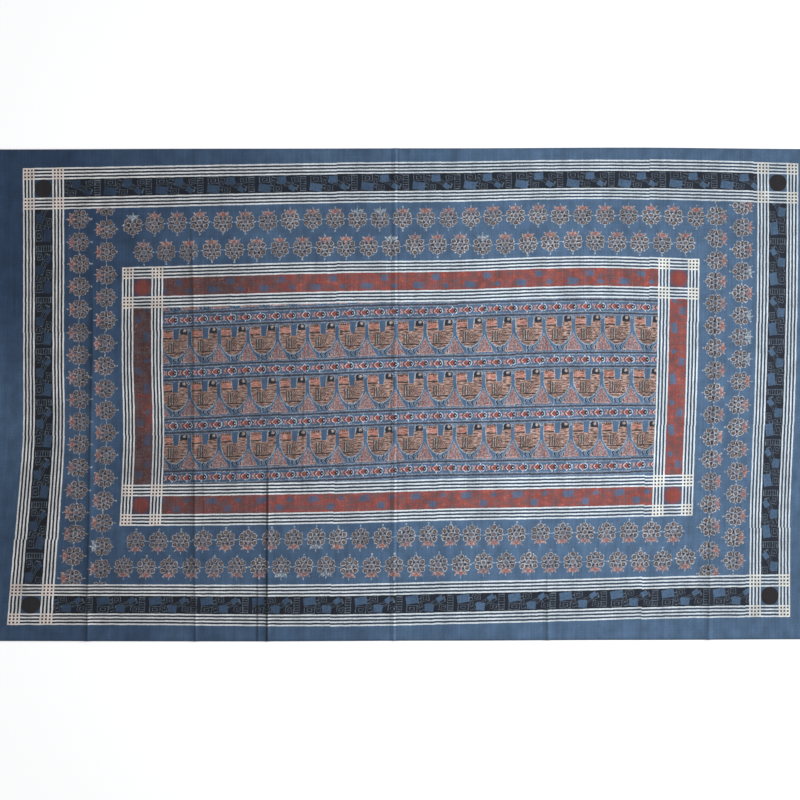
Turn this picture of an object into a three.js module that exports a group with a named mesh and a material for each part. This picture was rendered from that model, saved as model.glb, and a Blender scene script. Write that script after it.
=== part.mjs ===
// A printed cotton spread, laid out flat with its printed face up, still holding the creases it was folded along.
// Millimetres. +X runs along the cloth, +Y across it and +Z up, out of the printed face.
// The origin is on the surface that the cloth lies on, under the middle of its outline.
import * as THREE from "three";

// The cloth as it was cut and hemmed
const CLOTH_LENGTH = 2286;
const CLOTH_WIDTH = 1372;
const THICKNESS = 1.5;
const HEM_WIDTH = 14;
const HEM_STEP = 3; // the width over which the turned hem falls to the single cloth
const HEM_RISE = 1;

// The indigo ground, as it looks from a step away
const CLOTH_COLOUR = 0x46607f;
const CLOTH_ROUGHNESS = 0.92;

// Grid lines lie no further apart than this where the cloth is flat
const WIDEST_COLUMN = 110;
const WIDEST_ROW = 90;

// How far each edge draws in from the cut line where the cloth lies.
// place runs from -1 to 1 along the edge, far is the +Y edge and near the -Y edge.
const LONG_EDGES = [
  { place: -1.0, far: 5, near: 1 },
  { place: -0.4, far: 3, near: 0 },
  { place: 0.1, far: 2, near: 2 },
  { place: 0.55, far: 0, near: 4 },
  { place: 1.0, far: 4, near: 6 },
];
const SHORT_EDGES = [
  { place: -1.0, left: 0, right: 8 },
  { place: -0.3, left: 4, right: 5 },
  { place: 0.3, left: 8, right: 2 },
  { place: 1.0, left: 9, right: 0 },
];

// The fold creases, as low ridges that run across the cloth.
// nearX and farX are where the line meets the near and far edges, from and to the stretch of Y that stands up,
// height the ridge's height and reach its half width. A stretch that ends past an edge runs off it.
const CREASE_FADE = 140;
const CREASES = [
  { name: "left fold", nearX: -880, farX: -868, from: -900, to: 330, height: 5, reach: 24 },
  { name: "left quarter fold", nearX: -578, farX: -598, from: -900, to: 520, height: 4, reach: 22 },
  { name: "near tuck", nearX: -378, farX: -384, from: -900, to: -150, height: 5, reach: 18 },
  { name: "centre fold", nearX: -24, farX: -28, from: -900, to: 900, height: 4, reach: 16 },
  { name: "near pinch", nearX: 404, farX: 392, from: -900, to: -430, height: 4, reach: 18 },
  { name: "right fold", nearX: 852, farX: 872, from: -900, to: 420, height: 5, reach: 24 },
];
const CREASE_STATIONS = [-1, -0.5, 0, 0.5, 1]; // grid lines over one crease, in reaches from its line

// A column of a table at a place between two of its rows
function readTable(table, column, place) {
  const next = Math.max(1, table.findIndex((row) => row.place >= place));
  const before = table[next - 1];
  const after = table[next];
  const share = THREE.MathUtils.smoothstep(place, before.place, after.place);
  return THREE.MathUtils.lerp(before[column], after[column], share);
}

// Where a line that runs from the near edge to the far edge lies at a given Y
function lineAt(line, y) {
  return THREE.MathUtils.lerp(line.nearX, line.farX, y / CLOTH_WIDTH + 0.5);
}

// The cloth's height above the surface it lies on
function liftAt(x, y) {
  let lift = 0;
  for (const crease of CREASES) {
    const across = Math.min(1, Math.abs(x - lineAt(crease, y)) / crease.reach);
    const rises = THREE.MathUtils.smoothstep(y, crease.from, crease.from + CREASE_FADE);
    const falls = THREE.MathUtils.smoothstep(y, crease.to - CREASE_FADE, crease.to);
    lift += (crease.height * (1 + Math.cos(Math.PI * across)) * rises * (1 - falls)) / 2;
  }
  return lift;
}

// The cloth's own thickness, more where the hem is turned over
function thicknessAt(x, y) {
  const toEdge = Math.min(CLOTH_LENGTH / 2 - Math.abs(x), CLOTH_WIDTH / 2 - Math.abs(y));
  const hem = 1 - THREE.MathUtils.smoothstep(toEdge, HEM_WIDTH, HEM_WIDTH + HEM_STEP);
  return THICKNESS + HEM_RISE * hem;
}

// Where a point of the cut cloth lies once its edges have drawn in
function layDown(x, y) {
  const along = x / (CLOTH_LENGTH / 2);
  const across = y / (CLOTH_WIDTH / 2);
  const left = readTable(SHORT_EDGES, "left", across) - CLOTH_LENGTH / 2;
  const right = CLOTH_LENGTH / 2 - readTable(SHORT_EDGES, "right", across);
  const near = readTable(LONG_EDGES, "near", along) - CLOTH_WIDTH / 2;
  const far = CLOTH_WIDTH / 2 - readTable(LONG_EDGES, "far", along);
  return new THREE.Vector2(
    THREE.MathUtils.lerp(left, right, (along + 1) / 2),
    THREE.MathUtils.lerp(near, far, (across + 1) / 2),
  );
}

// The hem's own lines on both sides of a width
function hemLines(width) {
  const inward = [0, HEM_WIDTH, HEM_WIDTH + HEM_STEP];
  return inward.flatMap((step) => [step - width / 2, width / 2 - step]);
}

// Lines across the cloth: the hems, the creases, and even steps between them
function columnLines() {
  const straight = hemLines(CLOTH_LENGTH).map((x) => ({ nearX: x, farX: x }));
  const creased = CREASES.flatMap(({ nearX, farX, reach }) =>
    CREASE_STATIONS.map((station) => ({ nearX: nearX + station * reach, farX: farX + station * reach })),
  );
  return fillBetween([...straight, ...creased], (line) => line.nearX, WIDEST_COLUMN, (a, b, share) => ({
    nearX: THREE.MathUtils.lerp(a.nearX, b.nearX, share),
    farX: THREE.MathUtils.lerp(a.farX, b.farX, share),
  }));
}

// Lines along the cloth: the hems and even steps between them
function rowLines() {
  return fillBetween(hemLines(CLOTH_WIDTH), (y) => y, WIDEST_ROW, THREE.MathUtils.lerp);
}

// The same lines in order, with enough between them that no two lie further apart than the widest step
function fillBetween(lines, placeOf, widest, mix) {
  const sorted = lines.sort((a, b) => placeOf(a) - placeOf(b));
  const filled = [sorted[0]];
  for (let i = 1; i < sorted.length; i++) {
    const steps = Math.ceil((placeOf(sorted[i]) - placeOf(sorted[i - 1])) / widest);
    for (let step = 1; step <= steps; step++) filled.push(mix(sorted[i - 1], sorted[i], step / steps));
  }
  return filled;
}

// One closed sheet: a thin box whose grid is moved onto the lines above
function clothGeometry() {
  const columns = columnLines();
  const rows = rowLines();
  const geometry = new THREE.BoxGeometry(1, 1, 1, columns.length - 1, rows.length - 1, 1);
  const points = geometry.getAttribute("position");
  for (let i = 0; i < points.count; i++) {
    const y = rows[Math.round((points.getY(i) + 0.5) * (rows.length - 1))];
    const x = lineAt(columns[Math.round((points.getX(i) + 0.5) * (columns.length - 1))], y);
    const lying = layDown(x, y);
    const upper = points.getZ(i) > 0 ? thicknessAt(x, y) : 0;
    points.setXYZ(i, lying.x, lying.y, liftAt(x, y) + upper);
  }
  geometry.computeBoundingBox();
  const middle = geometry.boundingBox.getCenter(new THREE.Vector3());
  geometry.translate(-middle.x, -middle.y, 0);
  geometry.computeVertexNormals();
  return geometry;
}

const cotton = new THREE.MeshStandardMaterial({
  color: CLOTH_COLOUR,
  roughness: CLOTH_ROUGHNESS,
  metalness: 0,
});

const spread = new THREE.Group();
const cloth = new THREE.Mesh(clothGeometry(), cotton);
cloth.name = "cloth";
spread.add(cloth);

export default spread;
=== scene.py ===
# %% [markdown]
# # A block-printed indigo spread
# The real object is one length of plain cotton, printed by hand with carved wooden blocks and dyed with
# indigo. It lies flat with its printed face up. Everything that makes it what it is lies in two places:
# how the cloth lies, which is the mesh, and what the blocks printed, which is the material. This lesson
# makes the mesh with bmesh and the print with nodes, so that the pattern stays sharp at any distance.

# %% Load the frame
import functools
import math

import bmesh
import bpy
from mathutils import Matrix, Vector


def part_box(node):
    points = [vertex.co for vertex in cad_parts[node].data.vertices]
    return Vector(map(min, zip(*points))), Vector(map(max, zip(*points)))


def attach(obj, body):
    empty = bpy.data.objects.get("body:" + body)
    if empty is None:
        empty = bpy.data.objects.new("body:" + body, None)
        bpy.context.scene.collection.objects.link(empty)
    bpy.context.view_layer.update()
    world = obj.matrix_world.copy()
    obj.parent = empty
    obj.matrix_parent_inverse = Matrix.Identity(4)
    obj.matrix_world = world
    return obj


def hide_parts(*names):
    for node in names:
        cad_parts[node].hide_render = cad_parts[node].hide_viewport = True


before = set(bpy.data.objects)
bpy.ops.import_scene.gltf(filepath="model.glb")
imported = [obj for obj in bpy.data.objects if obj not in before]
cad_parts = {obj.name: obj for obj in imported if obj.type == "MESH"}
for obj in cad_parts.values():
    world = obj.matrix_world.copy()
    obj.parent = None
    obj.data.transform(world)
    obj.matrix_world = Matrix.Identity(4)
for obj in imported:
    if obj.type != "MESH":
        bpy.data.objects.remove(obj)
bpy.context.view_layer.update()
low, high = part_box("cloth")
LENGTH = high.x - low.x
WIDTH = high.y - low.y
MM = 0.001
print("cloth as laid:", round(LENGTH, 3), "by", round(WIDTH, 3), "m")

# %% [markdown]
# ## How the cloth lies
# A hand-printed cloth is never quite square. Its hems wander a few millimetres, and it keeps the creases
# that it was folded along. Both are written as short tables in millimetres. place runs from -1 to 1 along
# an edge, far is the edge at the top of the picture and near the edge at its bottom.

# %% Edges and creases
LONG_EDGES = (
    dict(place=-1.0, far=5, near=1),
    dict(place=-0.4, far=3, near=0),
    dict(place=0.1, far=2, near=2),
    dict(place=0.55, far=0, near=4),
    dict(place=1.0, far=4, near=6),
)
SHORT_EDGES = (
    dict(place=-1.0, left=0, right=8),
    dict(place=-0.3, left=4, right=5),
    dict(place=0.3, left=8, right=2),
    dict(place=1.0, left=9, right=0),
)
CREASE_FADE = 140
# The last column of a crease paints shade and soil into the colour along it; a negative value paints a pale
# highlight on its ridge.
CREASES = (
    dict(name="left fold", near_x=-880, far_x=-868, start=-900, end=330, height=5, reach=24, soil=0.5),
    dict(name="left quarter", near_x=-578, far_x=-598, start=-900, end=520, height=4, reach=22, soil=0.4),
    dict(name="quarter twin", near_x=-552, far_x=-572, start=-420, end=260, height=1, reach=8, soil=0.2),
    dict(name="tuck twin", near_x=-404, far_x=-410, start=-900, end=-440, height=2, reach=7, soil=0.5),
    dict(name="near tuck", near_x=-378, far_x=-384, start=-900, end=-120, height=5, reach=18, soil=0.85),
    dict(name="field line", near_x=-282, far_x=-278, start=-330, end=160, height=1.5, reach=9, soil=0.3),
    dict(name="centre line", near_x=-33, far_x=-37, start=-900, end=900, height=0.8, reach=6, soil=0.22),
    dict(name="centre fold", near_x=-24, far_x=-28, start=-900, end=900, height=4, reach=16, soil=-0.2),
    dict(name="centre twin", near_x=-15, far_x=-19, start=-900, end=900, height=0.8, reach=6, soil=0.26),
    dict(name="near pinch", near_x=404, far_x=392, start=-900, end=-430, height=4, reach=18, soil=0.35),
    dict(name="right fold", near_x=852, far_x=872, start=-900, end=420, height=5, reach=24, soil=0.3),
)
SHADE_AND_SOIL_CORE = 1.2
SHADE_AND_SOIL_REACH = 3.4


def smooth_step(low_end, high_end, value):
    share = min(1.0, max(0.0, (value - low_end) / (high_end - low_end)))
    return share * share * (3 - 2 * share)


def lerp(first, last, share):
    return first + (last - first) * share


def read_edge(table, column, place):
    """One column of an edge table at a place between two of its rows."""
    after = next(i for i in range(1, len(table)) if table[i]["place"] >= place or i == len(table) - 1)
    share = smooth_step(table[after - 1]["place"], table[after]["place"], place)
    return lerp(table[after - 1][column], table[after][column], share)


def crease_line(crease, y):
    """Where a crease, or any line across the cloth, lies at a given y."""
    return lerp(crease["near_x"], crease["far_x"], y * MM / WIDTH + 0.5)


def crease_strength(crease, y):
    """How much of a crease's height is left at a given y: it fades out towards its ends."""
    rises = smooth_step(crease["start"], crease["start"] + CREASE_FADE, y)
    falls = smooth_step(crease["end"] - CREASE_FADE, crease["end"], y)
    return rises * (1 - falls)


def lie_down(x, y):
    """Where a point of the cut cloth lies once its hems have drawn in, in metres."""
    along = x * MM / (LENGTH / 2)
    across = y * MM / (WIDTH / 2)
    left = read_edge(SHORT_EDGES, "left", across) * MM - LENGTH / 2
    right = LENGTH / 2 - read_edge(SHORT_EDGES, "right", across) * MM
    near = read_edge(LONG_EDGES, "near", along) * MM - WIDTH / 2
    far = WIDTH / 2 - read_edge(LONG_EDGES, "far", along) * MM
    return lerp(left, right, (along + 1) / 2), lerp(near, far, (across + 1) / 2)


def lift_and_soil(x, y):
    """How high the creases hold the cloth, and how much painted shade and soil darken it along them. A
    negative share paints a pale highlight on a ridge.
    """
    lift = 0.0
    soil = 0.0
    for crease in CREASES:
        off_line = abs(x - crease_line(crease, y))
        strength = crease_strength(crease, y)
        lift += crease["height"] * max(0.0, 1 - off_line / crease["reach"]) ** 3 * strength
        soil += crease["soil"] * (1 - smooth_step(SHADE_AND_SOIL_CORE, SHADE_AND_SOIL_REACH, off_line)) * strength
    return lift * MM, soil


print(len(CREASES), "creases")

# %% [markdown]
# Between its creases, cloth that was folded for long never lies dead flat. A few slow waves, under two
# millimetres high and dying out towards the hems, are enough for the raking light to pick up.

# %% Slow waves
WAVES = (
    dict(length=173, lean=0.21, start=0.3, height=0.34),
    dict(length=97, lean=-0.33, start=1.9, height=0.2),
    dict(length=251, lean=1.4, start=4.0, height=0.36),
)
WAVE_CALM = 160


def wave_lift(x, y):
    """The height of the slow waves, never below the floor and nothing at the hems."""
    to_edge = min(LENGTH / MM / 2 - abs(x), WIDTH / MM / 2 - abs(y))
    calm = smooth_step(0, WAVE_CALM, to_edge)
    turns = [(x + y * wave["lean"]) / wave["length"] * math.tau + wave["start"] for wave in WAVES]
    return sum(wave["height"] * (1 + math.sin(turn)) for wave, turn in zip(WAVES, turns)) * calm * MM


print("waves up to", 2 * sum(wave["height"] for wave in WAVES), "mm")

# %% [markdown]
# ## How the print lies on the cloth
# The printer laid every block by eye, and the cloth has been pulled since, so the frames of stripes bow
# and lean. The next two tables say, in millimetres, how far four long lines and four short lines of the
# print lie off a true drawing. Between those lines the shift is blended. Reading the tables backwards
# gives each point of the mesh its place in the true drawing, which is kept in a UV map for the material.

# %% The true drawing and its distortion
OUTER_X, OUTER_Y = 1076, 636
INNER_X, INNER_Y = 800, 357
LONG_LINES = (
    dict(at=-1100, near_outer=-3, near_inner=-6, far_inner=-12, far_outer=-9),
    dict(at=-700, near_outer=-3, near_inner=-6, far_inner=-3, far_outer=-2),
    dict(at=-300, near_outer=-7, near_inner=-2, far_inner=9, far_outer=5),
    dict(at=100, near_outer=-1, near_inner=9, far_inner=14, far_outer=9),
    dict(at=500, near_outer=9, near_inner=15, far_inner=26, far_outer=15),
    dict(at=800, near_outer=18, near_inner=24, far_inner=17, far_outer=12),
    dict(at=1100, near_outer=20, near_inner=28, far_inner=10, far_outer=4),
)
SHORT_LINES = (
    dict(at=-690, left_outer=-29, left_inner=-5, right_inner=-6, right_outer=-6),
    dict(at=-380, left_outer=-3, left_inner=10, right_inner=0, right_outer=-5),
    dict(at=-100, left_outer=19, left_inner=22, right_inner=9, right_outer=6),
    dict(at=100, left_outer=20, left_inner=18, right_inner=15, right_outer=12),
    dict(at=380, left_outer=21, left_inner=20, right_inner=18, right_outer=16),
    dict(at=690, left_outer=19, left_inner=20, right_inner=18, right_outer=17),
)
LONG_PLACES = dict(near_outer=-OUTER_Y, near_inner=-INNER_Y, far_inner=INNER_Y, far_outer=OUTER_Y)
SHORT_PLACES = dict(left_outer=-OUTER_X, left_inner=-INNER_X, right_inner=INNER_X, right_outer=OUTER_X)


def smooth_read(stations, values, at):
    """A smooth curve through a few values, level past its two ends."""
    at = min(stations[-1], max(stations[0], at))
    i = next(k for k in range(1, len(stations)) if stations[k] >= at)
    step = stations[i] - stations[i - 1]
    share = (at - stations[i - 1]) / step

    def slope(k):
        before, after = max(0, k - 1), min(len(stations) - 1, k + 1)
        return (values[after] - values[before]) / (stations[after] - stations[before])

    rise = smooth_step(0, 1, share)
    bend_in = slope(i - 1) * step * share * (1 - share) ** 2
    bend_out = slope(i) * step * share * share * (1 - share)
    return lerp(values[i - 1], values[i], rise) + bend_in - bend_out


def table_shift(table, places, along, across):
    """How far the print is shifted at a point: along picks the table's row, across blends its lines."""
    stations = [row["at"] for row in table]
    shifts = [smooth_read(stations, [row[name] for row in table], along) for name in places]
    return smooth_read(list(places.values()), shifts, across)


def print_place(x, y):
    """The point of the true drawing that was printed at x, y: two rounds settle it to about 0.1 mm."""
    u, v = x, y
    for _ in range(2):
        shift_x = table_shift(SHORT_LINES, SHORT_PLACES, v, u)
        shift_y = table_shift(LONG_LINES, LONG_PLACES, u, v)
        u, v = x - shift_x, y - shift_y
    return u, v


print("print frame", 2 * OUTER_X, "by", 2 * OUTER_Y, "mm")

# %% [markdown]
# ## The sheet
# A sheet this large needs fine points only where it bends. The grid's lines follow the creases, with up
# to eleven lines over each, and elsewhere keep an even step. bmesh makes an even grid and each point is
# then moved to its place. A Solidify modifier gives the cloth its thickness, and a vertex group makes the
# turned hem thicker.

# %% Grid lines
HEM_WIDTH = 14
HEM_STEP = 3
CLOTH_THICKNESS = 1.5
HEM_THICKNESS = 2.5
CREASE_STATIONS = (-1, -0.65, -0.35, 0, 0.35, 0.65, 1)
SHADE_AND_SOIL_STATIONS = (-SHADE_AND_SOIL_REACH, -SHADE_AND_SOIL_CORE, SHADE_AND_SOIL_CORE, SHADE_AND_SOIL_REACH)
CLOSEST_COLUMN = 0.6
WIDEST_COLUMN = 11
WIDEST_ROW = 11


def hem_lines(width):
    inward = (0, HEM_WIDTH / 2, HEM_WIDTH, HEM_WIDTH + HEM_STEP)
    return [side * (width / 2 - step) for step in inward for side in (-1, 1)]


def fill_between(lines, widest):
    """Sorted lines, as pairs of a near and a far end, with more between them where they lie far apart."""
    lines = sorted(lines)
    filled = [lines[0]]
    for line in lines[1:]:
        before = filled[-1]
        if min(line[0] - before[0], line[1] - before[1]) < CLOSEST_COLUMN:
            continue
        steps = math.ceil((line[0] - before[0]) / widest)
        filled += [tuple(lerp(a, b, k / steps) for a, b in zip(before, line)) for k in range(1, steps + 1)]
    return filled


column_lines = [(x, x) for x in hem_lines(LENGTH / MM)]
for crease in CREASES:
    offsets = [station * crease["reach"] for station in CREASE_STATIONS] + list(SHADE_AND_SOIL_STATIONS)
    column_lines += [(crease["near_x"] + offset, crease["far_x"] + offset) for offset in offsets]
columns = fill_between(column_lines, WIDEST_COLUMN)
rows = [line[0] for line in fill_between([(y, y) for y in hem_lines(WIDTH / MM)], WIDEST_ROW)]
print(len(columns), "columns and", len(rows), "rows")

# %% The sheet's mesh
sheet_bm = bmesh.new()
bmesh.ops.create_grid(sheet_bm, x_segments=len(columns) - 1, y_segments=len(rows) - 1, size=0.5)
print_map = sheet_bm.loops.layers.uv.new("print")
bake_map = sheet_bm.loops.layers.uv.new("OFBake")
# Painted shade, painted highlight and soil along the creases, kept per point for the material.
soil_layer = sheet_bm.verts.layers.float.new("crease_soil")
hem_layer = sheet_bm.verts.layers.deform.new("thickness")
true_place = {}
cut_place = {}
for vert in sheet_bm.verts:
    cut_y = rows[round((vert.co.y + 0.5) * (len(rows) - 1))]
    near_x, far_x = columns[round((vert.co.x + 0.5) * (len(columns) - 1))]
    cut_x = lerp(near_x, far_x, cut_y * MM / WIDTH + 0.5)
    lie_x, lie_y = lie_down(cut_x, cut_y)
    lift, soil = lift_and_soil(cut_x, cut_y)
    vert.co = Vector((lie_x, lie_y, lift + wave_lift(cut_x, cut_y)))
    vert[soil_layer] = soil
    to_edge = min(LENGTH / MM / 2 - abs(cut_x), WIDTH / MM / 2 - abs(cut_y))
    hem = 1 - smooth_step(HEM_WIDTH, HEM_WIDTH + HEM_STEP, to_edge)
    vert[hem_layer][0] = lerp(CLOTH_THICKNESS / HEM_THICKNESS, 1.0, hem)
    true_place[vert] = print_place(lie_x / MM, lie_y / MM)
    cut_place[vert] = (cut_x * MM / LENGTH + 0.5, cut_y * MM / WIDTH + 0.5)
for face in sheet_bm.faces:
    face.smooth = True
    for loop in face.loops:
        loop[print_map].uv = true_place[loop.vert]
        loop[bake_map].uv = cut_place[loop.vert]

sheet_mesh = bpy.data.meshes.new("printed_cloth")
sheet_bm.to_mesh(sheet_mesh)
sheet_bm.free()
printed_cloth = bpy.data.objects.new("printed_cloth", sheet_mesh)
bpy.context.scene.collection.objects.link(printed_cloth)
printed_cloth.vertex_groups.new(name="thickness")
body_of_cloth = printed_cloth.modifiers.new("cloth thickness", "SOLIDIFY")
body_of_cloth.thickness = HEM_THICKNESS * MM
body_of_cloth.offset = 1
body_of_cloth.vertex_group = "thickness"
print(len(sheet_mesh.polygons), "faces on one side")

# %% [markdown]
# ## A small language for block printing
# The print is drawn by nodes: each shape is a test on a point's place, and each ink is mixed in where its
# test says yes. Written node by node that would fill many pages, so three small classes stand for
# sockets. A Number is one value at every point of the cloth and takes Python's own arithmetic. A Place is
# a point in millimetres, and a Colour is an ink. A test that compares a value with a middle and a reach
# draws a line, a disc or a ring with one node.

# %% Nodes and numbers
cotton = bpy.data.materials.new("printed_cotton")
cotton.use_nodes = True
tree = cotton.node_tree


def add_node(kind, *values, **settings):
    """One node, with its settings, and its inputs in order: a value that stands for a socket is linked."""
    made = tree.nodes.new(kind)
    for name, setting in settings.items():
        setattr(made, name, setting)
    for socket, value in zip(made.inputs, values):
        connect(socket, value)
    return made


def connect(socket, value):
    if hasattr(value, "socket"):
        tree.links.new(value.socket, socket)
    elif value is not None:
        socket.default_value = value


def calculate(operation, *values, clamp=False):
    return Number(add_node("ShaderNodeMath", *values, operation=operation, use_clamp=clamp).outputs[0])


class Number:
    """A value that differs from point to point on the cloth."""

    def __init__(self, socket):
        self.socket = socket

    def __add__(self, other):
        return calculate("ADD", self, other)

    def __sub__(self, other):
        return calculate("SUBTRACT", self, other)

    def __rsub__(self, other):
        return calculate("SUBTRACT", other, self)

    def __mul__(self, other):
        return calculate("MULTIPLY", self, other)

    def __truediv__(self, other):
        return calculate("DIVIDE", self, other)

    def __abs__(self):
        return calculate("ABSOLUTE", self)

    __radd__ = __add__
    __rmul__ = __mul__


print("material", cotton.name, "starts with", len(tree.nodes), "nodes")

# %% [markdown]
# A Place gives its x and y as Numbers, and its distance from another point. For the turned rectangles of
# the bands it also gives the point in a rectangle's own frame, where one number says how far out the
# point lies.

# %% Places and colours
class Place:
    """A point on the cloth, in millimetres."""

    def __init__(self, socket):
        self.socket = socket

    @functools.cached_property
    def parts(self):
        return add_node("ShaderNodeSeparateXYZ", self).outputs

    @property
    def x(self):
        return Number(self.parts[0])

    @property
    def y(self):
        return Number(self.parts[1])

    @property
    def z(self):
        return Number(self.parts[2])

    def distance(self, x, y):
        return Number(add_node("ShaderNodeVectorMath", self, (x, y, 0), operation="DISTANCE").outputs[1])

    def framed(self, x, y, half_x, half_y, degrees):
        """0 at the middle of a turned rectangle and 1 at its edge."""
        turn = (0, 0, math.radians(degrees))
        half_size = (half_x, half_y, 1)
        local = add_node("ShaderNodeMapping", self, (x, y, 0), turn, half_size, vector_type="TEXTURE")
        sizes = add_node("ShaderNodeVectorMath", Place(local.outputs[0]), operation="ABSOLUTE")
        from_middle = Place(sizes.outputs[0])
        return calculate("MAXIMUM", from_middle.x, from_middle.y)


class Colour:
    """An ink or a mix of inks."""

    def __init__(self, socket):
        self.socket = socket


def place_of(x, y):
    return Place(add_node("ShaderNodeCombineXYZ", x, y).outputs[0])


print("a Place can be measured by", [name for name in vars(Place) if not name.startswith("_")])

# %% [markdown]
# A test is 1 where it holds and 0 elsewhere, so tests are joined with plain arithmetic: both multiplies
# them, either takes the larger, and without takes one away from the other.

# %% Tests
def near(value, middle, reach):
    """1 where a value lies within reach of the middle, and 0 elsewhere."""
    return calculate("COMPARE", value, middle, reach)


def below(value, limit):
    return calculate("LESS_THAN", value, limit)


def above(value, limit):
    return calculate("GREATER_THAN", value, limit)


def both(*tests):
    return functools.reduce(lambda a, b: calculate("MULTIPLY", a, b), tests)


def either(*tests):
    return functools.reduce(lambda a, b: calculate("MAXIMUM", a, b), tests)


def without(test, cut):
    return calculate("SUBTRACT", test, cut, clamp=True)


def zigzag(value, half_period):
    """The distance to the nearest whole period, for evenly repeated lines."""
    return calculate("PINGPONG", value, half_period)


print("tests:", [test.__name__ for test in (near, below, above, both, either, without)])

# %% [markdown]
# The last helpers mix. A share from 0 to 1 says how much of an ink lies on a colour, a ramp turns any
# number into such a share, and noise makes the shares uneven, as they are when a block is pressed by
# hand.

# %% Blends, inks and noise
def blend(first, last, share):
    """A number that goes from the first to the last as the share goes from 0 to 1."""
    node = add_node("ShaderNodeMix", share, data_type="FLOAT")
    connect(node.inputs[2], first)
    connect(node.inputs[3], last)
    return Number(node.outputs[0])


def ramp(value, low_end, high_end, first=0.0, last=1.0):
    return Number(add_node("ShaderNodeMapRange", value, low_end, high_end, first, last).outputs[0])


def paint(under, test, ink):
    """Ink over a colour where a test says yes."""
    node = add_node("ShaderNodeMix", test, data_type="RGBA")
    connect(node.inputs[6], under)
    connect(node.inputs[7], ink)
    return Colour(node.outputs[2])


def noise(place, stretch_x, stretch_y, detail=2.0, seed=0.0):
    """Cloudy noise from 0 to 1 whose clouds are about as wide and as high as the two sizes."""
    per_size = (1 / stretch_x, 1 / stretch_y, 1)
    spot = add_node("ShaderNodeMapping", place, (seed, seed, 0), (0, 0, 0), per_size)
    cloud = add_node("ShaderNodeTexNoise", noise_dimensions="2D")
    connect(cloud.inputs["Vector"], Place(spot.outputs[0]))
    connect(cloud.inputs["Scale"], 1.0)
    connect(cloud.inputs["Detail"], detail)
    return cloud


def dye(red, green, blue):
    """A dye colour as it is read on a screen, 0 to 255, made linear for the shader."""
    def linear(level):
        level /= 255
        return level / 12.92 if level <= 0.04045 else ((level + 0.055) / 1.055) ** 2.4
    return (linear(red), linear(green), linear(blue), 1.0)


print("middle grey in linear light:", round(dye(128, 128, 128)[0], 3))

# %% [markdown]
# ## The dyes
# The cloth has few dyes. Indigo makes the ground, an iron black and a madder red were stamped on, and
# what the lime resist covered stayed pale. Red over indigo gives browns, and thin red gives orange and
# pink. All of them have been washed, so none is strong: the colours below are as they look in even light.

# %% Dye colours
INDIGO = dye(78, 104, 133)
INDIGO_DEEP = dye(45, 66, 94)
INDIGO_PALE = dye(124, 140, 156)
IRON_BLACK = dye(40, 37, 41)
BAND_BLACK = dye(25, 31, 43)
BAND_WORN = dye(45, 53, 67)
GAP_BLACK = dye(35, 44, 57)
RESIST_WHITE = dye(218, 228, 235)
RESIST_WARM = dye(236, 235, 233)
RESIST_CREAM = dye(244, 232, 205)
RESIST_BLUSH = dye(240, 218, 206)
LACE_WHITE = dye(195, 199, 201)
MADDER = dye(148, 74, 67)
MADDER_BROWN = dye(86, 56, 56)
WORN_MADDER = dye(96, 80, 84)
ORANGE = dye(176, 125, 110)
PINK = dye(191, 163, 154)
TAN = dye(128, 110, 102)
FLOWER_GREY = dye(106, 104, 106)
HEART_BROWN = dye(136, 112, 100)
FISH_RED = dye(174, 92, 83)
print("indigo in linear light:", [round(level, 3) for level in INDIGO[:3]])

# %% [markdown]
# ## The ground
# Indigo takes unevenly: it is deeper at one end, cloudy over a hand's breadth, and streaked along single
# threads. A short table names the two largest clouds that the vat left. The print wobbles too, because
# the cloth moved under the blocks, so every shape reads a place that noise has shifted by less than a
# millimetre. The ink itself is grainy: one fine noise, the grain, says where a block pressed well and
# where it was starved.

# %% Indigo ground and the wobbling place
true_point = Place(add_node("ShaderNodeUVMap", uv_map="print").outputs[0])


def shaken(place, size, reach, seed):
    """The same place, moved by up to about a third of the reach by noise of a given size."""
    shake = Place(noise(true_point, size, size, detail=1.0, seed=seed).outputs["Color"])
    moved = add_node("ShaderNodeVectorMath", shake, (reach, reach, 0), place, operation="MULTIPLY_ADD")
    back = (-reach / 2, -reach / 2, 0)
    centred = add_node("ShaderNodeVectorMath", Place(moved.outputs[0]), back, operation="ADD")
    return Place(centred.outputs[0])


point = shaken(true_point, size=20, reach=1.6, seed=3.1)
u, v = point.x, point.y
DEEPEST_END = 0.72
CLOUD_DRIFT = 1800
VAT_CLOUDS = (
    dict(x=-1150, y=560, reach=640, depth=0.5),
    dict(x=-1130, y=-60, reach=340, depth=-0.5),
)
cloudy = Number(noise(true_point, 120, 170, detail=4.0, seed=7.7).outputs[0])
dye_depth = ramp(u + (cloudy - 0.5) * CLOUD_DRIFT, -1000, 350, DEEPEST_END, 0.0)
for cloud in VAT_CLOUDS:
    from_cloud = true_point.distance(cloud["x"], cloud["y"])
    dye_depth = dye_depth + ramp(from_cloud, 0, cloud["reach"], cloud["depth"], 0.0)
ground = paint(INDIGO, dye_depth, INDIGO_DEEP)

grain = Number(noise(true_point, 4.6, 4.6, detail=1.0, seed=5.2).outputs[0])
worn = ramp(grain, 0.36, 0.56, 0.35, 1.0)
well_pressed = ramp(grain, 0.42, 0.58)
starved = ramp(grain, 0.42, 0.58, 1.0, 0.0)
left_end = ramp(u, -950, 50, 1.0, 0.0)
# Darker towards the left end: partly deeper dye, partly painted shade.
left_dye_and_shade = ramp(u, -1000, -250, 0.8, 1.0)
print(len(tree.nodes), "nodes for the ground")

# %% [markdown]
# ## The frames of stripes
# Two frames run round the cloth, each of two groups of four white stripes with a band between. Both are
# the same drawing at two sizes, so one set of tests serves them: each point measures how far it lies
# inside whichever frame it belongs to. Where two runs of stripes meet they simply cross, which leaves a
# grid of dots.

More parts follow.
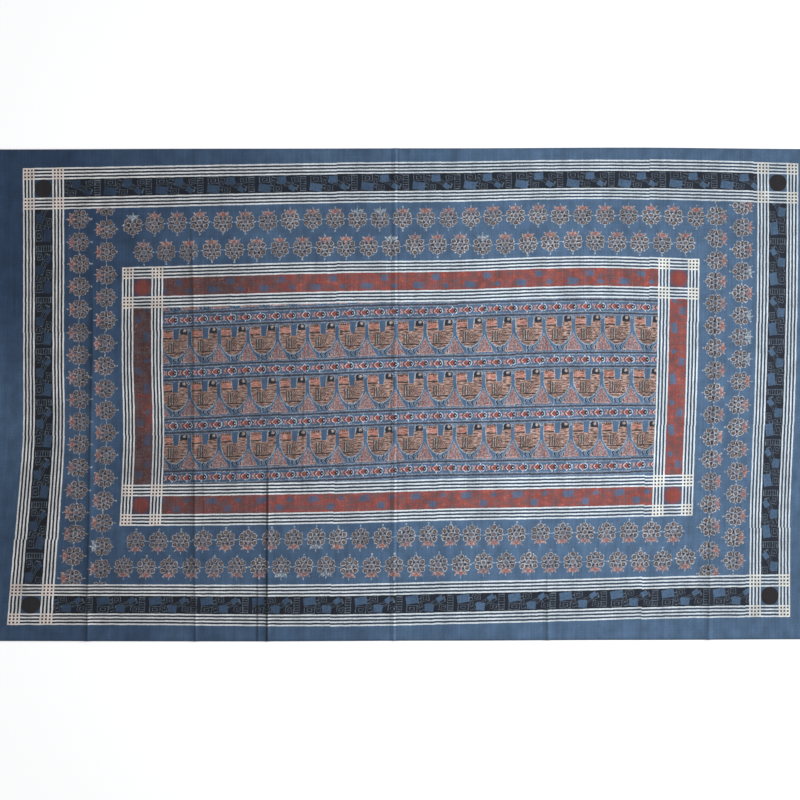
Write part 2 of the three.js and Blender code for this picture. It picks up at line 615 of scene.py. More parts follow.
# %% Stripes
STRIPE_PITCH = 9.26
STRIPE_WIDTH = 4.2
STRIPES = 4
GROUP_STEP = 82
GROUP_REACH = (STRIPES - 1) * STRIPE_PITCH / 2 + STRIPE_WIDTH / 2
FRAME_WIDTH = GROUP_STEP + 2 * GROUP_REACH - STRIPE_WIDTH / 2
BAND_MIDDLE = (GROUP_STEP + 2 * GROUP_REACH - STRIPE_WIDTH) / 2
BAND_REACH = (GROUP_STEP - 2 * GROUP_REACH) / 2
BLOCK_LENGTH = 290
BLOCK_SLIP = 2.2


def chances(*key):
    """Three chance numbers from 0 to 1, the same wherever the key is the same."""
    spot = Place(add_node("ShaderNodeCombineXYZ", *key).outputs[0])
    return Place(add_node("ShaderNodeTexWhiteNoise", spot, noise_dimensions="3D").outputs["Color"])


def block_slip(along, seed):
    """The next block is never set quite in line: a small sideways slip for each length of block."""
    block = calculate("FLOOR", along / BLOCK_LENGTH + seed)
    return (chances(block, seed).x - 0.5) * BLOCK_SLIP


def stripe_tests(inward):
    """The white stripes, and the run of cloth that a group of them covers."""
    inner_group = above(inward, BAND_MIDDLE)
    step = calculate("MULTIPLY_ADD", inner_group, -GROUP_STEP, inward)
    group = near(step, (STRIPES - 1) * STRIPE_PITCH / 2, GROUP_REACH)
    line = below(zigzag(step, STRIPE_PITCH / 2), STRIPE_WIDTH / 2)
    return both(group, line), group


inside = both(near(u, 0, INNER_X + STRIPE_WIDTH), near(v, 0, INNER_Y + STRIPE_WIDTH))
in_x = calculate("MULTIPLY_ADD", inside, INNER_X - OUTER_X, OUTER_X) - abs(u) + block_slip(v, 0.37)
in_y = calculate("MULTIPLY_ADD", inside, INNER_Y - OUTER_Y, OUTER_Y) - abs(v) + block_slip(u, 0.71)
past_x = above(in_x, FRAME_WIDTH)
past_y = above(in_y, FRAME_WIDTH)
on_x = above(in_x, -STRIPE_WIDTH / 2)
on_y = above(in_y, -STRIPE_WIDTH / 2)
side_white, side_group = stripe_tests(in_x)
end_white, end_group = stripe_tests(in_y)
stripe_white = either(both(side_white, on_y), both(end_white, on_x))
stripe_gap = either(both(side_group, on_y), both(end_group, on_x))
crossing = both(side_group, end_group)
within_frame = both(past_x, past_y)
field = both(within_frame, inside)
rosette_zone = without(within_frame, inside)
print(len(tree.nodes), "nodes with the stripes")

# %% [markdown]
# ## The band between the stripes
# The band is printed with one long block of loose rectangles: some solid, some outlined twice, some
# hatched, set at easy angles. Nine turned rectangles in a repeat of 143 mm are enough. On the outer frame
# the block is black and leaves the indigo bare. On the inner frame it is red, and there the dye has run,
# so that the bare rectangles have soft edges and the fine lines hardly show. A disc fills each corner.

# %% Rectangles of the band
BAND_REPEAT = 143
side_band = both(near(in_x, BAND_MIDDLE, BAND_REACH), past_y)
end_band = both(near(in_y, BAND_MIDDLE, BAND_REACH), past_x)
band = either(side_band, end_band)
corner = both(near(in_x, BAND_MIDDLE, BAND_REACH), near(in_y, BAND_MIDDLE, BAND_REACH))
band_along = blend(u, v, side_band)
band_across = blend(in_y, in_x, side_band) - BAND_MIDDLE
band_place = place_of(calculate("WRAP", band_along, BAND_REPEAT, 0.0), band_across)
SOLID_RECTANGLES = (
    dict(x=22, y=11, half_x=17, half_y=10.5, turn=8),
    dict(x=70, y=-11, half_x=12, half_y=10, turn=-5),
    dict(x=99, y=12, half_x=9, half_y=7, turn=32),
)
OUTLINED_RECTANGLES = (
    dict(x=22, y=-13, half_x=16, half_y=9.5, turn=-3),
    dict(x=86, y=1, half_x=32, half_y=7.5, turn=21),
    dict(x=58, y=14, half_x=12, half_y=8, turn=6),
    dict(x=110, y=-12, half_x=13, half_y=8, turn=-12),
    dict(x=45, y=-3, half_x=6.5, half_y=18, turn=14),
)
HATCHED_BAR = dict(x=129, y=0, half_x=8.5, half_y=21.5, turn=0)
HATCH_STEP = 3.4
HATCH_REACH = 0.9
OUTLINE = dict(outermost=0.9, half_step=0.25, reach=0.07)
BAR_RIM = dict(middle=0.92, reach=0.08)
RUN_FROM = 0.62
RUN_TO = 1.25


def rectangle(row):
    """0 at the middle of one of the turned rectangles and 1 at its edge."""
    return band_place.framed(row["x"], row["y"], row["half_x"], row["half_y"], row["turn"])


def twice_outlined(edge):
    """Thin lines round a rectangle, one inside the other."""
    line = near(zigzag(edge - OUTLINE["outermost"], OUTLINE["half_step"]), 0, OUTLINE["reach"])
    return both(line, below(edge, 1.0))


run_edge = blend(1.0, RUN_FROM, inside)
band_solid = either(*(ramp(rectangle(row), run_edge, 1.05, 1.0, 0.0) for row in SOLID_RECTANGLES))
edges = [rectangle(row) for row in OUTLINED_RECTANGLES]
line_shapes = [twice_outlined(edge) for edge in edges]
bar_edge = rectangle(HATCHED_BAR)
hatch = both(below(zigzag(band_place.y, HATCH_STEP), HATCH_REACH), below(bar_edge, 0.8))
band_lines = without(either(hatch, near(bar_edge, **BAR_RIM), *line_shapes), band_solid)
disc_full = blend(BAND_REACH - 1, BAND_REACH * RUN_FROM, inside)
disc_end = blend(BAND_REACH, BAND_REACH * RUN_TO, inside)
from_disc = place_of(in_x, in_y).distance(BAND_MIDDLE, BAND_MIDDLE)
disc = corner * ramp(from_disc, disc_full, disc_end, 1.0, 0.0)
print(len(SOLID_RECTANGLES) + len(OUTLINED_RECTANGLES) + 1, "rectangles every", BAND_REPEAT, "mm")

# %% [markdown]
# Each ink is now laid on in the order of the work: the dark gaps, the band, its lines and bare
# rectangles, the discs, and last the white that the resist kept. Every share is broken up by the grain,
# and several change along the cloth, because its left end was dyed deeper and its right end has worn
# more. The band and the field also darken towards the left, partly deeper dye and partly painted shade.

# %% Frame colours
def scaled(colour, factor):
    """A colour made darker or lighter by a factor."""
    node = add_node("ShaderNodeVectorMath", colour, operation="SCALE")
    connect(node.inputs["Scale"], factor)
    return Colour(node.outputs[0])


run_dye = Number(noise(true_point, 24, 15, detail=3.0, seed=1.3).outputs[0])
browner = ramp(u + (cloudy - 0.5) * 1500, -850, -250, 1.0, 0.1)
band_red = paint(MADDER, browner, MADDER_BROWN)
worn_red = paint(band_red, ramp(run_dye, 0.4, 0.64, 0.0, 0.7), WORN_MADDER)
worn_red = paint(worn_red, both(ramp(run_dye, 0.4, 0.3), well_pressed) * 0.32, ORANGE)
band_black = paint(BAND_BLACK, ramp(u, 0, 1000, 0.0, 0.3), BAND_WORN)
# The band darkens towards the left, partly deeper dye and partly painted shade.
band_ground = scaled(paint(band_black, inside, worn_red), left_dye_and_shade)
gap_strength = ramp(u, -900, 700, 0.95, 0.66)
frame_colour = paint(ground, stripe_gap * gap_strength, GAP_BLACK)
frame_colour = paint(frame_colour, band, band_ground)
line_strength = calculate("MULTIPLY_ADD", inside, -0.4, 0.54)
frame_colour = paint(frame_colour, both(band, band_lines) * line_strength * worn, INDIGO_PALE)
solid_ink = ramp(u, -900, 100, 0.68, 0.96) * ramp(grain, 0.32, 0.52, blend(0.72, 0.6, inside), 1.0)
frame_colour = paint(frame_colour, both(band, band_solid) * solid_ink, ground)
frame_colour = paint(frame_colour, corner * blend(0.15, 0.45, inside), GAP_BLACK)
disc_red = paint(MADDER, browner * 0.45, MADDER_BROWN)
frame_colour = paint(frame_colour, disc, paint(IRON_BLACK, inside, scaled(disc_red, 0.9)))
resist = paint(RESIST_WHITE, left_end, RESIST_WARM)
crossing_cream = paint(RESIST_CREAM, left_end, RESIST_BLUSH)
resist = paint(resist, crossing * blend(0.4, 0.65, left_end), crossing_cream)
stripe_ink = ramp(cloudy, 0.3, 0.6, 0.86, 1.0) * ramp(grain, 0.3, 0.5, 0.93, 1.0)
frame_colour = paint(frame_colour, stripe_white * stripe_ink, resist)
print(len(tree.nodes), "nodes with the frames")

# %% [markdown]
# ## The rosettes
# Between the frames run two staggered rows of small flowers, each with its red head turned outwards. The
# side columns run right through the corners and the end rows stop at them. The block prints three flowers
# at a time, which share their slips. Each flower has its own chance numbers for how well it took the red.

# %% Which flower a point belongs to
ROSETTE_PITCH = 62.7
ROW_MIDDLES = (159, 236)
COLUMN_MIDDLES = (156, 229)
ROW_PARTING = 195
COLUMN_REACH = 262
CUT_OFF = 14
ROSETTE_START = 35
ROW_LEAD = 6
COLUMN_LEAD = -21
FLOWERS_ON_BLOCK = 3
BLOCK_SHIFT = 5

in_column = below(in_x, COLUMN_REACH)
along = blend(u, v, in_column)
inward = blend(in_y, in_x, in_column)
side = calculate("SIGN", blend(v, u, in_column))
lead = blend(ROW_LEAD, COLUMN_LEAD, in_column) * side + (ROSETTE_START - ROSETTE_PITCH / 2)
inner_row = above(inward, ROW_PARTING)
steps = (along - lead) / ROSETTE_PITCH + inner_row * 0.5
cell = calculate("FLOOR", steps)
line_key = calculate("MULTIPLY_ADD", in_column, 7, side)
cell_middle = (cell + 0.5 - inner_row * 0.5) * ROSETTE_PITCH + lead
whole_flower = either(in_column, below(abs(cell_middle), OUTER_X - COLUMN_REACH - CUT_OFF))
slip = chances(calculate("FLOOR", cell / FLOWERS_ON_BLOCK), line_key, inner_row)
luck = chances(cell, line_key, inner_row + 0.5)
outer_middle, inner_middle = (blend(a, b, in_column) for a, b in zip(ROW_MIDDLES, COLUMN_MIDDLES))
flower = place_of(
    (steps - cell - 0.5) * ROSETTE_PITCH + (slip.x - 0.5) * BLOCK_SHIFT,
    blend(outer_middle, inner_middle, inner_row) - inward + (slip.y - 0.5) * BLOCK_SHIFT,
)
print("one flower every", ROSETTE_PITCH, "mm")

# %% [markdown]
# One flower has sixfold order, so one sixth is drawn and mirrored round: a petal ring with a brown heart,
# pale beads and dark beads. The red crown takes the place of the top petal. The carver's hand is in it
# too: the flower reads a place that is shaken harder than the rest of the print.

# %% One flower
PETALS = 6
PETAL_RING = 19.8
PETAL_RIM = dict(middle=6.6, reach=1.3)
PETAL_SHADE = dict(middle=4.4, reach=1.0)
CENTRE_RIM = dict(middle=7.0, reach=1.4)
CROWN_LOBES = (
    dict(x=0, y=21.8, radius=7.0),
    dict(x=9.0, y=22.8, radius=5.4),
    dict(x=0, y=13.6, radius=3.2),
    dict(x=14.6, y=25.2, radius=2.4),
    dict(x=0, y=29.4, radius=2.4),
)
flower = shaken(flower, size=8, reach=6.0, seed=8.3)
flower_x, flower_y = flower.x, flower.y
from_middle = flower.distance(0, 0)
folded = zigzag(calculate("ARCTAN2", flower_x, flower_y), math.pi / PETALS)
sixth = place_of(from_middle * calculate("SINE", folded), from_middle * calculate("COSINE", folded))
mirrored = place_of(abs(flower_x), flower_y)


def between_petals(radius):
    return radius * math.sin(math.pi / PETALS), radius * math.cos(math.pi / PETALS)


under_crown = both(near(flower_x, 0, 10), near(flower_y, 22, 10))
petal = sixth.distance(0, PETAL_RING)
petal_rims = without(either(near(petal, **PETAL_RIM), near(from_middle, **CENTRE_RIM)), under_crown)
pale_beads = either(below(sixth.distance(0, 11.3), 1.7), below(sixth.distance(*between_petals(25.5)), 2.4))
dark_beads = either(below(sixth.distance(*between_petals(12.2)), 3.1), near(petal, **PETAL_SHADE))
side_bars = both(near(flower_y, 0, 1.2), near(mirrored.x, 15, 5.5))
hearts = without(either(below(petal, 3.7), below(from_middle, 3.6)), under_crown)
crown = either(*(below(mirrored.distance(lobe["x"], lobe["y"]), lobe["radius"]) for lobe in CROWN_LOBES))
crown_core = mirrored.distance(0, 21.5)
crown_tips = below(mirrored.distance(16.2, 27.6), 1.9)
crown_beads = either(below(mirrored.distance(5.6, 24.4), 1.5), below(flower.distance(0, 16.8), 1.5))
spike = both(near(flower_x, 0, 1.2), near(flower_y, 33.5, 3.2))
bud = either(below(flower.distance(0, -33.5), 2.7), both(near(flower_x, 0, 1.1), near(flower_y, -29, 3)))
links = both(near(flower_y, 0.5, 1.0), above(mirrored.x, 25))
print(PETALS, "petals on a ring of", PETAL_RING, "mm and", len(CROWN_LOBES), "crown lobes")

# %% [markdown]
# The flower's inks run from dark to pale, and the crown comes over them. One flower in ten took no red,
# so its crown is pale, and a flower that the corner would cut in two is left out.

# %% Rosette colours
flower_ink = ramp(luck.x, 0, 1, 0.62, 0.96)
red_luck = above(luck.y, 0.1)
lace_colour = paint(LACE_WHITE, blend(0.2, 0.6, left_end), PINK)
rosette_colour = paint(ground, below(from_middle, 25) * 0.5, FLOWER_GREY)
rosette_colour = paint(rosette_colour, hearts * 0.8, paint(HEART_BROWN, starved * 0.5, IRON_BLACK))
dark_ink = ramp(grain, 0.44, 0.6, 1.0, 0.3)
dark_parts = without(either(dark_beads, side_bars), under_crown)
rosette_colour = paint(rosette_colour, dark_parts * dark_ink, IRON_BLACK)
lace_ink = ramp(grain, 0.42, 0.56, 0.35, 1.0) * flower_ink * blend(0.95, 0.7, left_end)
rosette_colour = paint(rosette_colour, either(petal_rims, pale_beads) * lace_ink, lace_colour)
crown_colour = paint(ORANGE, starved * 0.55, MADDER)
crown_colour = paint(crown_colour, near(crown_core, 2.6, 1.2) * 0.7, MADDER)
crown_colour = paint(crown_colour, ramp(crown_core, 3, 10, 0.0, 0.6), paint(TAN, well_pressed, PINK))
crown_colour = paint(paint(INDIGO_PALE, well_pressed * 0.7, LACE_WHITE), red_luck, crown_colour)
rosette_colour = paint(rosette_colour, crown * ramp(luck.z, 0, 1, 0.65, 1.0) * worn, crown_colour)
small_parts = either(crown_tips, crown_beads, spike, bud, links)
rosette_colour = paint(rosette_colour, small_parts * flower_ink * worn * 0.75, LACE_WHITE)
rosette_colour = paint(ground, whole_flower, rosette_colour)
print(len(tree.nodes), "nodes with the rosettes")

# %% [markdown]
# ## The field of fish and birds
# The middle of the cloth repeats one tall block: a row of small fish between double lines, and under it a
# row of birds that stand between forked stems, with a fan of leaves in each fork. The rows sink a little
# to the left, and each pair of birds slips with its block. First each point finds its row, its block and
# how far it lies below that row's line of fish.

# %% Rows and blocks of the field
ROW_PITCH = 145.2
FIRST_FISH_ROW = 219.3
LEFT_SINK = 12
FISH_REACH = 24
BIRD_PITCH = 82.07
BIRD_START = -33.5
FIELD_SLIP = (5, 2.4)

from_top = FIRST_FISH_ROW - v - ramp(u, -700, 0, LEFT_SINK, 0.0)
row_number = calculate("FLOOR", (from_top + FISH_REACH) / ROW_PITCH)
pair_number = calculate("FLOOR", (u - BIRD_START) / (2 * BIRD_PITCH))
pair_slip = chances(pair_number, row_number)
block_place = place_of(
    u - BIRD_START + (pair_slip.x - 0.5) * FIELD_SLIP[0],
    from_top - row_number * ROW_PITCH + (pair_slip.y - 0.5) * FIELD_SLIP[1],
)
block_place = shaken(block_place, size=7, reach=3.0, seed=6.6)
bird_along, down = block_place.x, block_place.y
fish_zone = below(down, FISH_REACH)
field_ink = ramp(pair_slip.z, 0.0, 1.0, 0.85, 1.0) * worn
print("a row of fish every", ROW_PITCH, "mm and a bird every", BIRD_PITCH, "mm")

# %% [markdown]
# A fish is the same above and below its own line, so it is drawn once with the distance from that line.
# The slant of that distance makes the chevrons of its body and its tail.

# %% Fish
FISH_PITCH = BIRD_PITCH / 2
FISH_START = -28.5
FISH_LINE = 18.8
FISH_NOSE = 16.5
FISH_TAIL = 18.5
FISH_JOINT = 11.4
fish_x = calculate("WRAP", bird_along + FISH_START, FISH_NOSE, FISH_NOSE - FISH_PITCH)
fish_y = abs(down)
fish = place_of(fish_x, fish_y)
tail_fin = both(near(abs(fish_x + FISH_TAIL) - fish_y * 0.55, 0, 2.5), below(fish_y, 7.6))
chevron = fish_x - fish_y * 0.85
joint = both(near(chevron, -FISH_JOINT, 2.4), below(fish_y, 6.0))
joint_edge = both(near(abs(chevron + FISH_JOINT), 3.2, 0.9), below(fish_y, 6.5))
body_size = abs(fish_x + 0.5) * 0.95 + fish_y * 0.9
body = below(body_size, 8.0)
body_line = both(body, below(zigzag(chevron, 2.3), 0.95))
head_size = fish.distance(4.6, 0)
fish_head = both(below(head_size, 7.0), above(chevron, 1.6))
body_edge = both(near(body_size, 9.2, 1.1), below(fish_x, 3))
fish_edge = either(body_edge, both(near(head_size, 8.8, 1.0), above(fish_x, 5)))
fish_spike = both(near(fish_x, -0.5, 1.2), near(fish_y, 10.5, 2))
fish_line = abs(fish_y - FISH_LINE)
fish_colour = paint(ground, near(fish_line, 4.7, 0.9) * worn * 0.5, LACE_WHITE)
fish_colour = paint(fish_colour, near(fish_line, 2.3, 0.9) * well_pressed * 0.6, TAN)
fish_colour = paint(fish_colour, below(fish_line, 1.2) * 0.95, IRON_BLACK)
fish_colour = paint(fish_colour, tail_fin * field_ink * 0.95, paint(PINK, starved * 0.8, FISH_RED))
fish_colour = paint(fish_colour, either(body, joint), paint(FISH_RED, starved * 0.3, MADDER))
fish_colour = paint(fish_colour, body_line * 0.85, IRON_BLACK)
fish_colour = paint(fish_colour, either(joint_edge, fish_head) * 0.95, IRON_BLACK)
fish_pale = either(fish_edge, fish_spike) * ramp(grain, 0.4, 0.54, 0.3, 0.8)
fish_colour = paint(fish_colour, either(fish_pale, below(fish.distance(8.2, 0), 1.3)), RESIST_WHITE)
print("one fish every", round(FISH_PITCH, 1), "mm,", len(tree.nodes), "nodes with the fish")

# %% [markdown]
# ## Birds
# Each bird is a boat-shaped body with a square tail on the left, and a neck and a dark head on the right.
# One number, the hull, is 1 on the body's outline and grows outwards. The stems between the birds are
# bare indigo, so only their pale edges are drawn, and each fan is a triangle of strokes that spread from
# above its tip.

# %% Hull, stems and fans
HULL_MIDDLE = 35.5
HULL_SHOULDER = 53
HULL_DEPTH = 49.5
STEM_MIDDLE = -6
FAN_TIP = 74
FAN_FOOT = 119
FAN_SPREAD = 40
BIRD_LEAD = 11
ROOT_MIDDLE = 43.5
HOOKS_DOWN = 110
bird_x = calculate("WRAP", bird_along, BIRD_PITCH - BIRD_LEAD, -BIRD_LEAD)
bird = place_of(bird_x, down)
keel = calculate("MAXIMUM", down - HULL_SHOULDER, 0.0) / HULL_DEPTH
hull_place = place_of((bird_x - HULL_MIDDLE) / HULL_MIDDLE, keel)
hull = Number(add_node("ShaderNodeVectorMath", hull_place, operation="LENGTH").outputs[1])
bird_body = both(below(hull, 1.0), above(down, 26.5))
hull_edge = both(near(hull, 1.03, 0.027), above(down, 26))
fan_x = zigzag(bird_along - STEM_MIDDLE, BIRD_PITCH / 2)
fan_edge = fan_x - (down - FAN_TIP) * 0.58
fan = both(below(fan_edge, 0), below(down, FAN_FOOT))
fan_stroke = zigzag(fan_x / (down - FAN_SPREAD), 0.066)
fan_red = both(fan, below(fan_stroke, 0.024))
fan_grey = both(fan, above(fan_stroke, 0.05))
fan_strip = both(near(down, 117.5, 1.2), below(fan_edge, -2))
root_edge = both(near(abs(bird_x - ROOT_MIDDLE), 15.7, 0.8), above(down, 103))
hooks_x = bird_x - abs(down - HOOKS_DOWN) * 0.75
hooks_zone = both(near(bird_x, ROOT_MIDDLE, 14.6), near(down, HOOKS_DOWN, 7))
hook_line = zigzag(hooks_x - 30, 6.2)
hooks = both(hooks_zone, below(hook_line, 1.7))
hook_edges = both(hooks_zone, near(hook_line, 3.6, 0.9))
print("hull", 2 * HULL_MIDDLE, "mm long and", HULL_DEPTH, "mm deep")

# %% [markdown]
# The notch between the tail and the neck is bare ground, cut out of the hull. The head is an arch over
# the right end with an eye in it. Its beak is a small ring that reaches past the stem, so it is drawn at
# the left edge of the next bird's cell.

# %% Tail, notch, neck and head
NOTCH_MIDDLE = 37.4
NOTCH_REACH = 8.8
HEAD_FOOT = 39.8
HEAD_ARCH = dict(x=59.3, y=32)
notch_reach = NOTCH_REACH - (down - 26) * 0.07
notch = both(near(bird_x, NOTCH_MIDDLE, notch_reach), below(down, 54))
notch_edge = both(near(abs(bird_x - NOTCH_MIDDLE) - notch_reach, 0.7, 0.8), near(down, 40, 14))
head_zone = both(above(bird_x, 46.5), below(down, HEAD_FOOT))
cloth_of_bird = without(without(bird_body, notch), head_zone)
comb = both(near(bird_x, 14.2, 14), near(down, 30, 1.9), below(zigzag(bird_x, 2.75), 1.6))
arch = place_of(bird_x, calculate("MINIMUM", down, HEAD_ARCH["y"])).distance(**HEAD_ARCH)
head_black = both(below(arch, 10.4), head_zone)
head_grey = both(head_black, above(bird_x - down, 33))
eye = bird.distance(61, 30)
head_edge = both(near(arch, 11.8, 1.1), below(down, HEAD_FOOT))
beak = near(bird.distance(-7.5, 30), 2.9, 0.9)
print("notch", 2 * NOTCH_REACH, "mm wide")

# %% [markdown]
# Inside, the carver filled the bird with bands of short strokes, a red tail, a patch of upright bars, a
# patch with a small ring, and dark lines along the keel. Each patch is a rectangle with its own evenly
# repeated lines.

# %% Patterns inside the bird
TAIL_END = 28.4
BAND_HALF_STEP = 4.2
bands = zigzag(down - 49.3, BAND_HALF_STEP)
tail_band = both(below(bird_x, TAIL_END), near(down, HEAD_FOOT, 7))
tail_line = both(below(bird_x, TAIL_END), near(down, 49.8, 1.7))
bars_zone = both(near(bird_x, 23.5, 8.5), near(down, 74.5, 13.5))
bars = zigzag(bird_x - 17.4, 3.4)
figure_zone = both(near(bird_x, 40, 7), near(down, 74, 14))
figure_stroke = zigzag(bird_x + down * 0.7, 3.2)
figure = bird.distance(39.5, 73.5)
keel_black = both(bird_body, either(near(down, 90.3, 1.5), near(down, 96.4, 0.7)))
cheek = below(bird.distance(10.4, 71.6), 4.6)
print("bands of strokes every", 2 * BAND_HALF_STEP, "mm")

# %% [markdown]
# The fans and stems come first, then the body with its patches, and the dark head and the pale outlines
# last. Long, low noise stands for the single strokes of the feathers, which are finer than the camera can
# see.

# %% Bird colours
bird_colour = paint(ground, fan * 0.75, TAN)
bird_colour = paint(bird_colour, fan * well_pressed * 0.7, PINK)
bird_colour = paint(bird_colour, fan_red * ramp(grain, 0.4, 0.55, 1.0, 0.5), MADDER)
bird_colour = paint(bird_colour, fan_grey * 0.75, INDIGO)
bird_colour = paint(bird_colour, hooks * 0.9, IRON_BLACK)
bird_colour = paint(bird_colour, fan_strip * worn * 0.7, PINK)
pale_lines = either(near(fan_edge, 1.4, 1.0), root_edge, hook_edges)
bird_colour = paint(bird_colour, both(pale_lines, above(down, 64)) * field_ink * 0.45, LACE_WHITE)
strokes = Number(noise(true_point, 13, 2.5, detail=1.0, seed=4.4).outputs[0])
orange_share = ramp(down, 46, 62, 0.85, 0.55)
body_colour = paint(TAN, both(above(bands, 1.1), ramp(strokes, 0.42, 0.56)) * orange_share, ORANGE)
body_colour = paint(body_colour, below(bands, 0.8) * ramp(strokes, 0.42, 0.6, 0.9, 0.3), IRON_BLACK)
body_colour = paint(body_colour, tail_band, paint(ORANGE, starved * 0.5, FISH_RED))
body_colour = paint(body_colour, ramp(strokes, 0.53, 0.62) * ramp(u, -300, 600, 0.5, 0.85), PINK)
body_colour = paint(body_colour, ramp(strokes, 0.44, 0.36, 0.0, 0.55), IRON_BLACK)
body_colour = paint(body_colour, cheek * worn * 0.6, MADDER)
bars_colour = paint(TAN, above(bars, 2.2) * 0.7, FLOWER_GREY)
bars_colour = paint(bars_colour, above(bars, 2.8) * well_pressed * 0.7, LACE_WHITE)
bars_colour = paint(bars_colour, below(bars, 1.3) * 0.85, IRON_BLACK)
body_colour = paint(body_colour, bars_zone, bars_colour)
figure_colour = paint(TAN, below(figure_stroke, 1.2) * 0.7, MADDER_BROWN)
figure_colour = paint(figure_colour, above(figure_stroke, 2.3) * well_pressed * 0.8, PINK)
body_colour = paint(body_colour, figure_zone * 0.9, figure_colour)
body_colour = paint(body_colour, near(figure, 3.9, 1.3) * 0.7, MADDER_BROWN)
body_colour = paint(body_colour, either(comb, tail_line, keel_black) * 0.9, IRON_BLACK)
bird_colour = paint(bird_colour, cloth_of_bird, body_colour)
bird_colour = paint(bird_colour, head_black * 0.95, IRON_BLACK)
bird_colour = paint(bird_colour, head_grey * well_pressed * 0.6, TAN)
bird_colour = paint(bird_colour, below(eye, 2.4), PINK)
bird_edges = either(hull_edge, notch_edge, head_edge, beak, near(eye, 3.6, 0.8))
bird_colour = paint(bird_colour, bird_edges * field_ink * 0.66, LACE_WHITE)
print(len(tree.nodes), "nodes with the birds")

# %% [markdown]
# ## Ink on cloth
# The four drawings are laid on the ground by their zones. Threads, the warp's streaks, and the painted
# shade, painted highlight and soil along the creases then darken or lighten everything alike.

# %% Whole print
LAST_BIRD_ROW = -238
SHADE_AND_SOIL_DEPTH = 0.86
bird_colour = paint(ground, above(v, LAST_BIRD_ROW), bird_colour)
# The field darkens towards the left, partly deeper dye and partly painted shade.
field_colour = scaled(paint(bird_colour, fish_zone, fish_colour), left_dye_and_shade)
whole = paint(frame_colour, rosette_zone, rosette_colour)
whole = paint(whole, field, field_colour)

warp_streak = Number(noise(true_point, 5, 260, detail=2.0, seed=2.2).outputs[0])
weft_streak = Number(noise(true_point, 200, 4, detail=2.0, seed=9.4).outputs[0])
thread = ramp(warp_streak + weft_streak * 0.5, 0.5, 1.0, 0.9, 1.1)
soil = Number(add_node("ShaderNodeAttribute", attribute_name="crease_soil").outputs["Fac"])
mottle = Number(noise(true_point, 34, 46, detail=4.0, seed=6.1).outputs[0])
cloth_shade = ramp(mottle, 0.3, 0.7, 0.84, 1.14) * ramp(grain, 0.3, 0.7, 0.94, 1.06)
# Along the creases the colour is darkened by painted shade and soil, and lightened by a painted highlight
# where the value is negative.
shaded = scaled(whole, thread * cloth_shade * (1 - soil * SHADE_AND_SOIL_DEPTH))
print(len(tree.nodes), "nodes with the threads")

# %% [markdown]
# ## The weave
# Plain weave is a fine grid of threads just under a millimetre apart. From a step away it only softens
# the light, so it is bump, together with the slack, crinkled look that washed cotton keeps.

# %% Cotton shader
THREAD_STEP = 0.85
CRINKLE_HEIGHT = 4.0
WEAVE_HEIGHT = 0.25
BUMP_STRENGTH = 0.35
COTTON_FINISH = {
    "Roughness": 0.92,
    "Specular IOR Level": 0.25,
    "Sheen Weight": 0.12,
    "Sheen Roughness": 0.6,
}
cotton_shader = next(n for n in tree.nodes if n.type == "BSDF_PRINCIPLED")
for socket_name, level in COTTON_FINISH.items():
    cotton_shader.inputs[socket_name].default_value = level
connect(cotton_shader.inputs["Base Color"], shaded)

crinkle = Number(noise(true_point, 26, 120, detail=3.0, seed=4.5).outputs[0])
weave = zigzag(true_point.x, THREAD_STEP / 2) + zigzag(true_point.y, THREAD_STEP / 2)
relief = add_node("ShaderNodeBump")
relief.inputs["Strength"].default_value = BUMP_STRENGTH
relief.inputs["Distance"].default_value = MM
connect(relief.inputs["Height"], crinkle * CRINKLE_HEIGHT + weave * WEAVE_HEIGHT)
tree.links.new(relief.outputs[0], cotton_shader.inputs["Normal"])
sheet_mesh.materials.append(cotton)
print(len(tree.nodes), "nodes in all")

# %% [markdown]
# ## Floor, light and camera
# The cloth lies on a pale floor. The photograph was lit from its right, as by a window, so a large soft
# light stands low on that side: it falls off to the left and rakes across the creases, while an even sky
# fills the shadows. A softbox hangs right of the middle, where the cloth is brightest. The camera looks
# straight down.

# %% Floor
FLOOR_GAP = 0.0004
FLOOR_HALF = 6.0
FLOOR_FINISH = {
    "Base Color": (0.9, 0.9, 0.9, 1),
    "Roughness": 0.9,
    "Emission Color": (1.0, 1.0, 1.0, 1),
    "Emission Strength": 0.42,
}
floor_bm = bmesh.new()
bmesh.ops.create_grid(floor_bm, x_segments=1, y_segments=1, size=FLOOR_HALF)
floor_mesh = bpy.data.meshes.new("floor")
floor_bm.to_mesh(floor_mesh)
floor_bm.free()
floor_mesh.transform(Matrix.Translation((0, 0, -FLOOR_GAP)))
floor = bpy.data.objects.new("floor", floor_mesh)
bpy.context.scene.collection.objects.link(floor)
floor_paint = bpy.data.materials.new("pale_floor")
floor_paint.use_nodes = True
floor_shader = floor_paint.node_tree.nodes["Principled BSDF"]
for socket_name, level in FLOOR_FINISH.items():
    floor_shader.inputs[socket_name].default_value = level
floor_mesh.materials.append(floor_paint)
print("floor", 2 * FLOOR_HALF, "m wide")

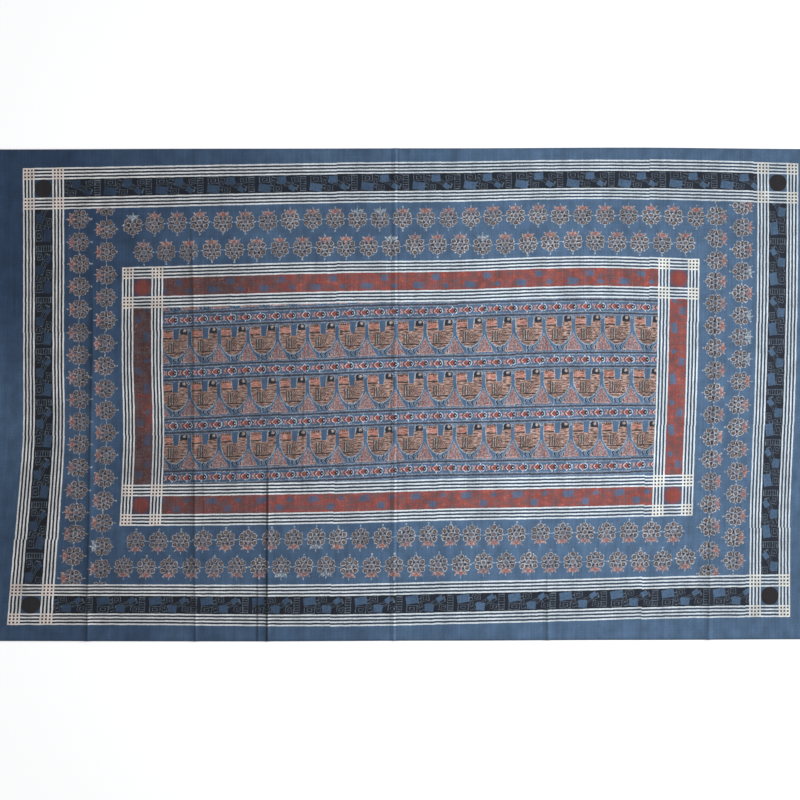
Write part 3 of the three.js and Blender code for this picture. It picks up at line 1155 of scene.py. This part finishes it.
# %% Light
SKY_COLOUR = (0.97, 0.98, 1.0, 1)
SKY_STRENGTH = 0.45
LIGHTS = (
    dict(name="window", place=(9.0, 1.8, 3.4), aim=(0.0, 0.0, 0.0), size=2.0, watts=470),
    dict(name="softbox", place=(0.46, -0.05, 1.0), aim=(0.46, -0.05, 0.0), size=1.0, watts=7.6),
)
scene = bpy.context.scene
scene.view_settings.view_transform = "Standard"
sky = bpy.data.worlds.new("sky")
sky.use_nodes = True
sky.node_tree.nodes["Background"].inputs["Color"].default_value = SKY_COLOUR
sky.node_tree.nodes["Background"].inputs["Strength"].default_value = SKY_STRENGTH
scene.world = sky


def soft_light(name, place, aim, size, watts):
    """A round lamp at a place, turned to a point, that the camera doesn't see."""
    lamp = bpy.data.lights.new(name, "AREA")
    lamp.shape = "DISK"
    lamp.size = size
    lamp.energy = watts
    holder = bpy.data.objects.new(name, lamp)
    holder.location = place
    holder.rotation_euler = (Vector(aim) - Vector(place)).to_track_quat("-Z", "Y").to_euler()
    holder.visible_camera = False
    scene.collection.objects.link(holder)


for light in LIGHTS:
    soft_light(**light)
print([light["name"] for light in LIGHTS])

# %% Camera
FRAME_PIXELS = 800
MM_PER_PIXEL = 2.78
CLOTH_MIDDLE_PIXEL = (404, 394.5)
CAMERA_HEIGHT = 4.2
SENSOR_WIDTH = 36
camera_data = bpy.data.cameras.new("camera")
camera_data.sensor_width = SENSOR_WIDTH
camera_data.lens = SENSOR_WIDTH * CAMERA_HEIGHT / (FRAME_PIXELS * MM_PER_PIXEL * MM)
camera = bpy.data.objects.new("camera", camera_data)
camera.location = (
    (FRAME_PIXELS / 2 - CLOTH_MIDDLE_PIXEL[0]) * MM_PER_PIXEL * MM,
    (CLOTH_MIDDLE_PIXEL[1] - FRAME_PIXELS / 2) * MM_PER_PIXEL * MM,
    CAMERA_HEIGHT,
)
scene.collection.objects.link(camera)
scene.camera = camera
print("lens", round(camera_data.lens, 1), "mm")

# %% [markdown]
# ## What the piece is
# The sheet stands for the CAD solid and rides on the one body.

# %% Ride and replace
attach(printed_cloth, "root")
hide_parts("cloth")
